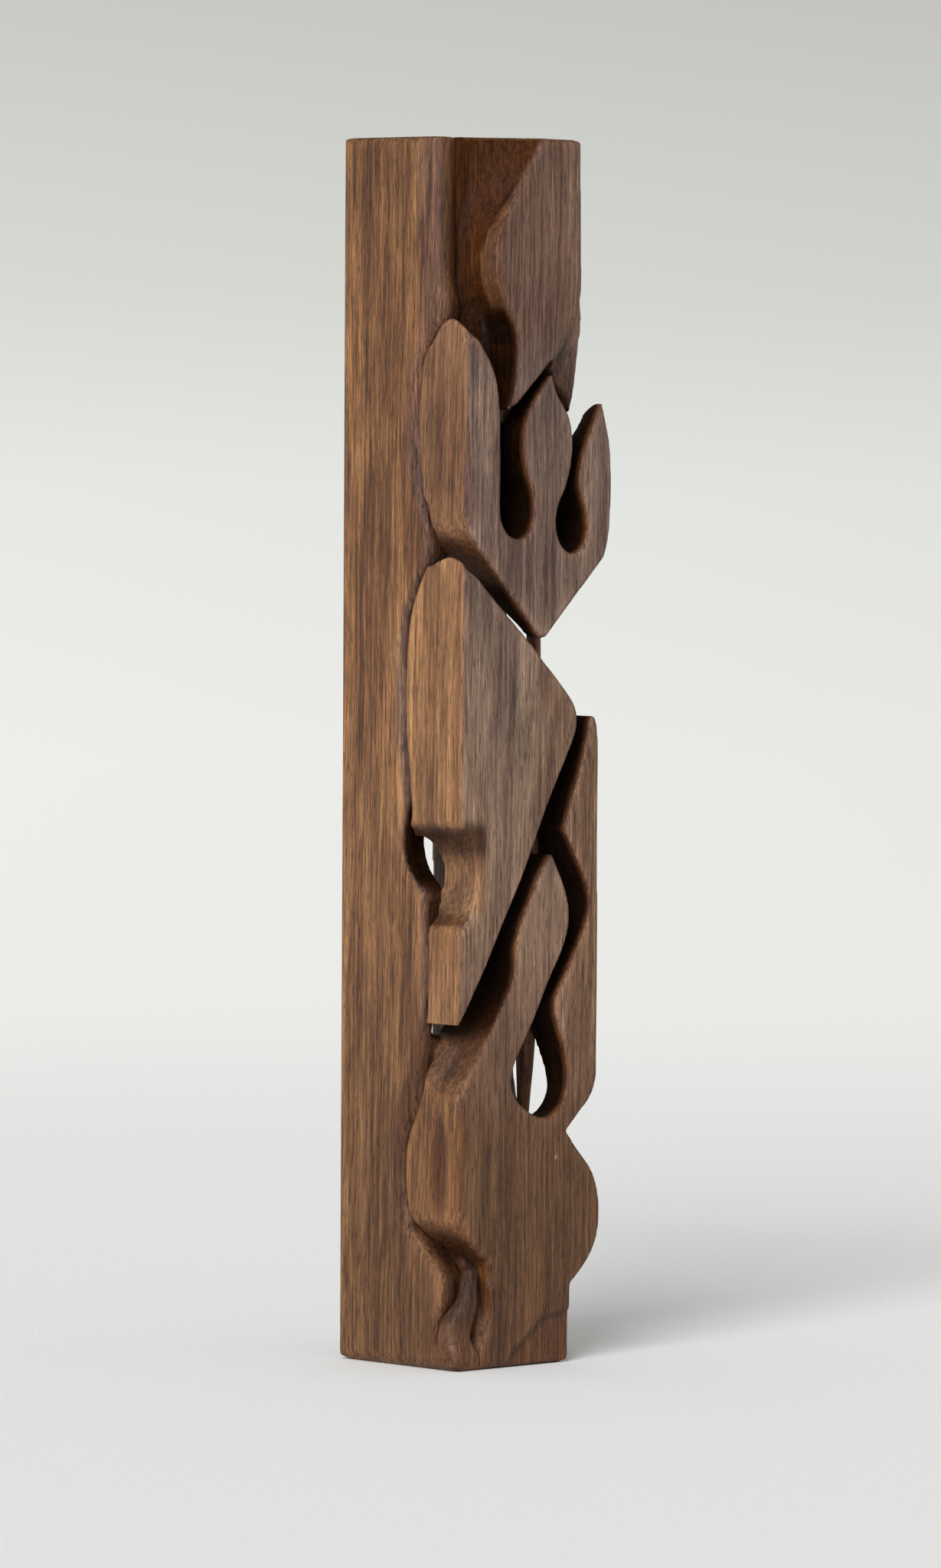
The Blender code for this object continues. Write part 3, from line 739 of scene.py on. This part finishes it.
def shape_prongs(points, normals):
    """The upper boss with its arched crown and dark streak, and the sunken tip of the far prong."""
    x, y, z = points.T
    tint = first_tint(points, normals)
    streak = between(y, 4.0, 10.5, 1.6) * facing(normals, LEFT, 3) * (x < 3)
    tint = blend(tint, 0.85 * streak * between(z, 226.0, 258.0, 6.0), (0.66, 0.58, 0.66))
    pale = (1 - soften(x, 9.0, 13.5)) * facing(normals, FRONT, 3) * (1 - soften(z, 250.0, 264.0))
    tint = tint * (1 + 0.2 * pale[:, None])
    tip = soften(z, 238.0, 250.0) * soften(y, 1.5, 12.0) * soften(x, 41.0, 44.0)
    crown = soften(z, 260.0, 270.0) * (1 - soften(x, 3.0, 9.0))
    arch = 2.8 * np.exp(-(((y - 6.5) / 4.0) ** 2)) - 2.4 * soften(y, 9.5, 13.5) + 0.3
    return roll_to_seam(pushed(points, crown * arch - 5.5 * tip, UP), normals, tint)


# The waist by height: a painted grey-blue sheen low down, turning to painted shade under the boss
# above.
WAIST = [
    (116, (1.15, 1.28, 1.45)),
    (123, (1.08, 1.2, 1.38)),
    (129, (1.2, 1.25, 1.35)),
    (133, (0.8, 0.8, 0.83)),
    (137, (0.48, 0.46, 0.48)),
]


def shape_blade(points, normals):
    """The long kite: an arched boss, the gouged waist with its painted sheen and shade, painted shade
    under the boss, and a darker figure across its front.
    """
    x, y, z = points.T
    tint = first_tint(points, normals)
    tint = blend(tint, between(z, 119.0, 141.5, 2.0) * (x < 9), by_height(z, WAIST))
    # Painted shade under the boss above the waist.
    under_boss_shade = between(z, 134.0, 142.5, 2.0) * (x < 9) * soften(x, 0.4, 2.0)
    tint = blend(tint, 0.7 * under_boss_shade, (0.26, 0.22, 0.21))
    front = facing(normals, FRONT, 3)
    figure = between(x + 0.45 * (z - 170.0), 15.0, 24.0, 4.0) * front
    tint = tint * (1 - 0.28 * figure[:, None])
    brown = soften(x, 22.0, 34.0) * front * soften(z, 120.0, 150.0)
    tint = blend(tint, 0.7 * brown, (0.98, 1.08, 1.42))
    crown = soften(z, 201.0, 209.0) * (1 - soften(x, 0.5, 4.0))
    arch = 2.0 * np.exp(-(((y - 6.0) / 4.5) ** 2)) - 1.2 * soften(y, 10.0, 13.5)
    return roll_to_seam(pushed(points, crown * arch, UP), normals, tint)


def shape_spear(points, normals):
    """The lowest boss and its oval hollow, the twisting ramp above it, and the pocket of the knot;
    painted light on the boss's rim, painted shade under the ramp, under the blade and beside the
    foot, and a painted bright spot.
    """
    x, y, z = points.T
    tint = first_tint(points, normals)
    oval = np.clip(1 - ((y - 7.2) / 3.6) ** 2 - ((z - 53.0) / 14.5) ** 2, 0, 1)
    plain = facing(normals, LEFT, 2) * (x < 3)
    points = pushed(points, 0.9 * oval * plain, RIGHT)
    tint = blend(tint, 0.9 * np.sqrt(oval) * plain, (0.56, 0.39, 0.31))
    # Painted light on the boss's bevelled rim by the corner.
    golden = (1 - soften(y, 1.0, 2.4)) * (1 - soften(x, 1.2, 2.4)) * between(z, 40.0, 68.0, 4.0)
    tint = blend(tint, 0.7 * golden, (0.98, 0.86, 0.64))
    twist = soften(y, 6.0, 13.5) * soften(z, 66.0, 75.0) * (1 - soften(x, 6.5, 11.0)) * (z < 96)
    points = pushed(points, 4.6 * twist, UP)
    # Up-facing ramp surfaces: greyer from 66 to 85 mm, and black painted shade from 88 to 112 mm,
    # under the blade.
    uphill = soften(normals[:, 2], 0.2, 0.6) * (1 - soften(x, 12.0, 22.0))
    tint = blend(tint, 0.8 * uphill * between(z, 66.0, 85.0, 5.0), (0.54, 0.50, 0.54))
    tint = blend(tint, 0.9 * uphill * between(z, 88.0, 112.0, 4.0), (0.10, 0.07, 0.05))
    # Painted shade on down-facing surfaces at the ramp's foot.
    ramp_foot = soften(36.0 - z, -1.0, 3.0) * (x < 13) * soften(normals[:, 2], 0.2, -0.4)
    tint = blend(tint, 0.8 * ramp_foot, (0.42, 0.36, 0.38))
    # The pocket's ochre wood; its right wall painted lighter against the knot's shadow, and darker
    # towards its top.
    pocket = between(z, 8.0, 34.0, 3.0) * between(x, 3.0, 14.0, 1.5) * soften(y, 0.2, 2.0)
    tint = blend(tint, pocket, (0.48, 0.33, 0.18))
    tint = blend(tint, pocket * soften(x, 10.8, 12.2), (0.72, 0.56, 0.36))
    tint = blend(tint, pocket * soften(z, 25.0, 29.0), (0.36, 0.28, 0.25))
    low_wall = (1 - soften(z, 5.0, 12.0)) * (x < 14.0) * (y < 8.0)
    tint = blend(tint, low_wall, (0.58, 0.54, 0.54))
    front = facing(normals, FRONT, 3)
    strip = soften(x, 38.0, 42.0) * soften(z, 62.0, 80.0)
    tint = blend(tint, 0.8 * strip * front, (0.88, 0.96, 1.12))
    # A tiny painted bright spot on the carved face.
    bright_spot = np.exp(-((x - 36.2) ** 2 + (z - 54.4) ** 2) / 0.35 ** 2) * (y < 1.0)
    tint = blend(tint, bright_spot, (3.4, 4.2, 5.4))
    # Painted shade right of the foot's diagonal.
    facet = soften(x - 15.5 - (z * 1.25), -0.6, 0.6) * (z < 14.2) * front
    tint = blend(tint, 0.7 * facet, (0.50, 0.40, 0.36))
    rib = between(z, 122.0, 156.0, 5.0) * soften(x, 37.0, 40.0) * soften(y, 8.0, 11.0)
    return roll_to_seam(pushed(points, 1.8 * rib, BACK), normals, tint)


KNOT = [
    (0, (0.62, 0.54, 0.50)),
    (9, (0.58, 0.53, 0.54)),
    (14, (0.27, 0.27, 0.37)),
    (26, (0.21, 0.22, 0.31)),
]


def shape_knot(points, normals):
    """Square at its foot, where it fills the corner, and a twisting tongue above."""
    x, y, z = points.T
    square = 1 - soften(z, 2.0, 9.0)
    flat = np.hypot(normals[:, 0], normals[:, 1])
    way = normals / np.maximum(flat, 0.05)[:, None]
    upright = flat > 0.6
    reach = np.sign(way) * np.abs(way) ** 0.4 * upright[:, None]
    points = pushed(points, square * upright * (5.4 * reach[:, 0] + 4.9 - x), RIGHT)
    points = pushed(points, square * upright * (4.9 * reach[:, 1] + 4.7 - y), BACK)
    right = soften(normals[:, 0], -0.1, 0.6) * soften(z, 7.0, 12.0)
    points = pushed(points, 0.9 * right * (1 - soften(z, 15.0, 21.0)), RIGHT)
    return points, blend(by_height(z, KNOT), 0.7 * right, (0.52, 0.38, 0.26))


def shape_post(points, normals):
    """Slender at its foot and stouter beside the spear's tip."""
    z = points[:, 2]
    extra = np.interp(z, (62, 72, 84, 125, 134, 145, 215), (0.0, 0.1, 0.3, 0.1, 0.5, 0.2, 0.0))
    tint = by_height(z, [(150, (0.74, 0.68, 0.66)), (185, (0.95, 0.90, 0.88))])
    return points + normals * extra[:, None], tint


# Where hands have worn the carving: the centres and half sizes of soft ellipsoids.
RUBBED = {
    "prong_panel": [((0, 4, 271), (6, 12, 8)), ((0, 13, 221), (6, 9, 7)), ((1, 3, 219), (4, 5, 5))],
    "blade_panel": [
        ((0, 4, 210), (6, 12, 7)),
        ((0, 11, 143), (8, 15, 10)),
        ((4, 4, 143), (5, 6, 5)),
        ((1, 5, 117.5), (7, 12, 6)),
    ],
    "spear_panel": [
        ((0, 8, 74), (8, 16, 9)),
        ((9.5, 3, 14), (5, 6, 12)),
        ((0, 6, 38), (6, 14, 7)),
        ((12.7, 0, 26), (5, 6, 6)),
    ],
    "leaf_panel": [((11, 10, 268), (9, 12, 12)), ((41, 4, 260), (4, 8, 20))],
}


CARVINGS = [
    # node, slot, voxel, easing, fattening, tool wobble, shaping
    ("side_board", "board_wood", 0.75, 5, 0.12, 0.05, shape_board),
    ("back_board", "board_wood", 0.90, 4, 0.12, 0.05, shape_back_board),
    ("top_block", "core_wood", 1.10, 3, 0.12, 0.04, shape_block),
    ("base_block", "core_wood", 1.10, 3, 0.12, 0.04, shape_block),
    ("leaf_panel", "panel_wood", 0.55, 10, 0.16, 0.10, shape_leaf),
    ("prong_panel", "panel_wood", 0.55, 5, 0.14, 0.08, shape_prongs),
    ("blade_panel", "panel_wood", 0.55, 5, 0.14, 0.08, shape_blade),
    ("spear_panel", "panel_wood", 0.58, 5, 0.14, 0.08, shape_spear),
    ("base_knot", "panel_wood", 0.45, 3, 0.16, 0.12, shape_knot),
    ("rear_post", "panel_wood", 0.45, 3, 0.05, 0.12, shape_post),
]


def carve(seed, node, slot, voxel, passes, fatten, wobble, shaping):
    """One finished wooden piece that stands for its CAD node."""
    piece = fine_copy(node, voxel, passes)
    points, normals = read(piece.data)
    edges = edges_of(piece.data)
    points = worn_round(points, edges, RUBBED.get(node))
    points = points + normals * (fatten + wobble * waves(points, 9.0, seed))[:, None]
    points, tint = shaping(points, normals)
    top_end = soften(normals[:, 2], 0.55, 0.9) * soften(points[:, 2], TALL - 3.0, TALL - 1.5)
    tint = blend(tint, top_end, END_GRAIN)
    points = rounded_outside(points)
    write(piece.data, points)
    points, normals = read(piece.data)
    arris = arris_of(edges, points, normals, ARRIS_REACH)
    colours = np.concatenate([tint, np.ones((len(tint), 1))], 1).astype(np.float32)
    layer = piece.data.attributes.new("tint", "FLOAT_COLOR", "POINT")
    layer.data.foreach_set("color", colours.ravel())
    layer = piece.data.attributes.new("arris", "FLOAT", "POINT")
    layer.data.foreach_set("value", arris.astype(np.float32))
    piece.data.materials.append(WOODS[slot])
    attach(piece, "root")
    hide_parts(node)


make_camera()
make_lights()
make_stage()
bpy.context.scene.view_settings.view_transform = "Standard"

WOODS = {
    "board_wood": walnut("board_walnut", lean=0.01, shift=0.0, figure=0.025, contrast=1.12),
    "panel_wood": walnut("panel_walnut", lean=0.16, shift=31.0, figure=0.035, contrast=0.85),
    "core_wood": walnut("core_walnut", lean=0.05, shift=77.0, figure=0.03, contrast=0.8),
}
for seed, carving in enumerate(CARVINGS):
    carve(seed, *carving)

pale = dowel_wood()
for name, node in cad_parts.items():
    if "dowel" in name:
        node.data.materials.clear()
        node.data.materials.append(pale)
